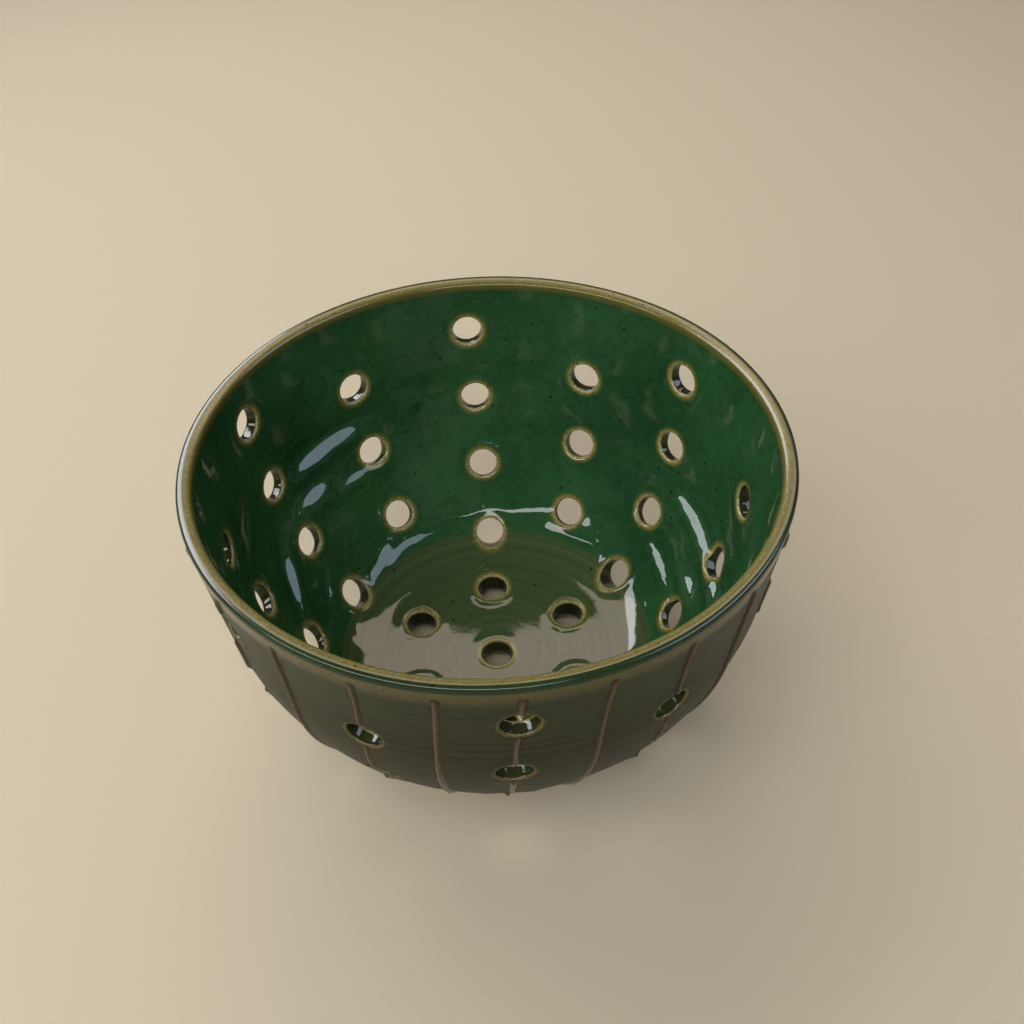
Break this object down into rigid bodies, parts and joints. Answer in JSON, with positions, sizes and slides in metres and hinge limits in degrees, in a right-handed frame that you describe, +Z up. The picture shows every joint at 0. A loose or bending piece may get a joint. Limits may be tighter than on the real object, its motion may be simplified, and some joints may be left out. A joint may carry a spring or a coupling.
{
  "type": "berry bowl",
  "caption": "Round wheel-thrown stoneware bowl with a rounded lip, pierced walls and floor that drain rinsed fruit, slip-trailed ribs down the outside and a low foot ring.",
  "frame": {"origin": "on the bowl's axis, at the surface that the foot ring stands on", "axes": "+Z up along the axis, +Y away from the side that the picture is taken from"},
  "size_m": [0.1657, 0.166, 0.1],
  "materials": {
    "glazed_body": "glossy deep green glaze that breaks amber on the lip and round the holes",
    "glazed_slip": "glossy glaze worn thin and olive over raised slip",
    "bare_foot": "unglazed stoneware, matt"
  },
  "bodies": {
    "root": {"bowl_body": "glazed_body", "foot_ring": "bare_foot", "pierced_trail_01_stretch_1": "glazed_slip", "pierced_trail_01_stretch_2": "glazed_slip", "pierced_trail_01_stretch_3": "glazed_slip", "pierced_trail_02_stretch_1": "glazed_slip", "pierced_trail_02_stretch_2": "glazed_slip", "pierced_trail_02_stretch_3": "glazed_slip", "pierced_trail_02_stretch_4": "glazed_slip", "pierced_trail_03_stretch_1": "glazed_slip", "pierced_trail_03_stretch_2": "glazed_slip", "pierced_trail_03_stretch_3": "glazed_slip", "pierced_trail_04_stretch_1": "glazed_slip", "pierced_trail_04_stretch_2": "glazed_slip", "pierced_trail_04_stretch_3": "glazed_slip", "pierced_trail_04_stretch_4": "glazed_slip", "pierced_trail_05_stretch_1": "glazed_slip", "pierced_trail_05_stretch_2": "glazed_slip", "pierced_trail_05_stretch_3": "glazed_slip", "pierced_trail_06_stretch_1": "glazed_slip", "pierced_trail_06_stretch_2": "glazed_slip", "pierced_trail_06_stretch_3": "glazed_slip", "pierced_trail_06_stretch_4": "glazed_slip", "pierced_trail_07_stretch_1": "glazed_slip", "pierced_trail_07_stretch_2": "glazed_slip", "pierced_trail_07_stretch_3": "glazed_slip", "pierced_trail_08_stretch_1": "glazed_slip", "pierced_trail_08_stretch_2": "glazed_slip", "pierced_trail_08_stretch_3": "glazed_slip", "pierced_trail_08_stretch_4": "glazed_slip", "pierced_trail_09_stretch_1": "glazed_slip", "pierced_trail_09_stretch_2": "glazed_slip", "pierced_trail_09_stretch_3": "glazed_slip", "pierced_trail_10_stretch_1": "glazed_slip", "pierced_trail_10_stretch_2": "glazed_slip", "pierced_trail_10_stretch_3": "glazed_slip", "pierced_trail_10_stretch_4": "glazed_slip", "pierced_trail_11_stretch_1": "glazed_slip", "pierced_trail_11_stretch_2": "glazed_slip", "pierced_trail_11_stretch_3": "glazed_slip", "pierced_trail_12_stretch_1": "glazed_slip", "pierced_trail_12_stretch_2": "glazed_slip", "pierced_trail_12_stretch_3": "glazed_slip", "pierced_trail_12_stretch_4": "glazed_slip", "plain_trail_01": "glazed_slip", "plain_trail_02": "glazed_slip", "plain_trail_03": "glazed_slip", "plain_trail_04": "glazed_slip", "plain_trail_05": "glazed_slip", "plain_trail_06": "glazed_slip", "plain_trail_07": "glazed_slip", "plain_trail_08": "glazed_slip", "plain_trail_09": "glazed_slip", "plain_trail_10": "glazed_slip", "plain_trail_11": "glazed_slip", "plain_trail_12": "glazed_slip"}
  },
  "joints": []
}
